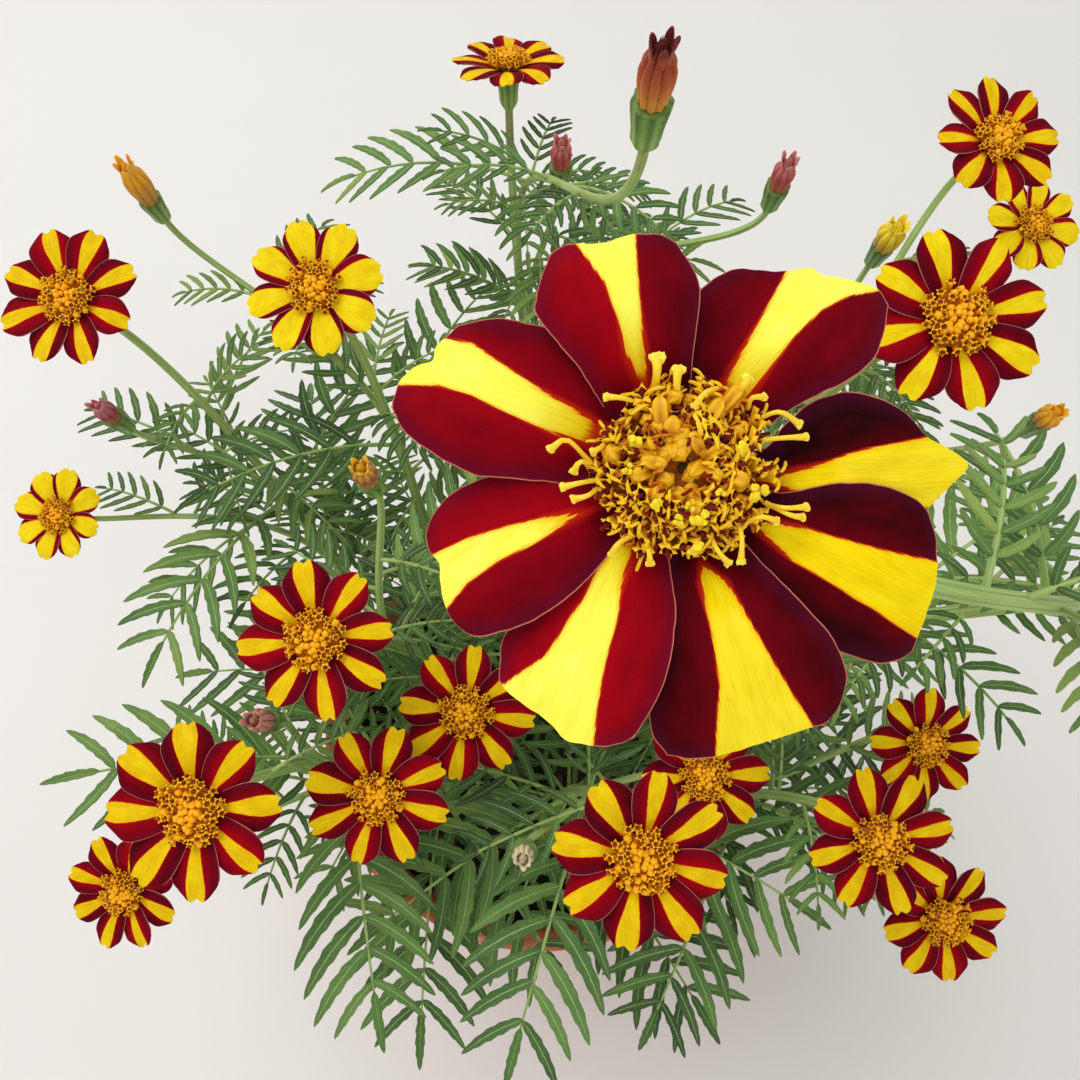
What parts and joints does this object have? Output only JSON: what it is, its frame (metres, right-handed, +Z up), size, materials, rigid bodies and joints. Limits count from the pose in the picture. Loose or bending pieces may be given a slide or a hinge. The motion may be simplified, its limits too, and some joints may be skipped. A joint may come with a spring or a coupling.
{
  "type": "potted french marigold",
  "caption": "Bushy french marigold with striped single blooms, buds and finely cut leaves, growing in a plain round clay pot.",
  "frame": {"origin": "middle of the pot's flat base, on the surface that it stands on", "axes": "+Z up along the pot's axis, -Y towards the side from which the picture looks down on the blooms"},
  "size_m": [0.3392, 0.2868, 0.4428],
  "materials": {
    "clay": "matte",
    "soil": "matte",
    "foliage": "satin",
    "petals": "matte",
    "florets": "matte",
    "buds": "matte"
  },
  "bodies": {
    "root": {"pot": "clay", "soil": "soil", "stem_main": "foliage", "stem_front": "foliage", "stem_front_right": "foliage", "stem_front_left": "foliage", "stem_centre_left": "foliage", "stem_right_back": "foliage", "stem_left": "foliage", "stem_left_back": "foliage", "stem_back": "foliage", "rays_main": "petals", "disc_main": "florets", "rays_front": "petals", "disc_front": "florets", "rays_front_hidden": "petals", "disc_front_hidden": "florets", "bud_front_papery": "buds", "rays_front_right": "petals", "disc_front_right": "florets", "rays_right_low": "petals", "disc_right_low": "florets", "rays_front_far_right": "petals", "disc_front_far_right": "florets", "rays_front_left": "petals", "disc_front_left": "florets", "rays_front_mid": "petals", "disc_front_mid": "florets", "rays_front_far_left": "petals", "disc_front_far_left": "florets", "bud_front_pink": "buds", "rays_centre_left": "petals", "disc_centre_left": "florets", "rays_centre_low": "petals", "disc_centre_low": "florets", "bud_centre_orange": "buds", "rays_right_high": "petals", "disc_right_high": "florets", "rays_right_far": "petals", "disc_right_far": "florets", "rays_right_top": "petals", "disc_right_top": "florets", "bud_right_folded": "buds", "bud_right_spent": "buds", "rays_left_high": "petals", "disc_left_high": "florets", "rays_left_far": "petals", "disc_left_far": "florets", "bud_left_pink": "buds", "rays_left_yellow": "petals", "disc_left_yellow": "florets", "bud_left_orange": "buds", "rays_back": "petals", "disc_back": "florets", "bud_back_pink": "buds", "bud_back_right": "buds", "bud_tall": "buds"}
  },
  "joints": []
}
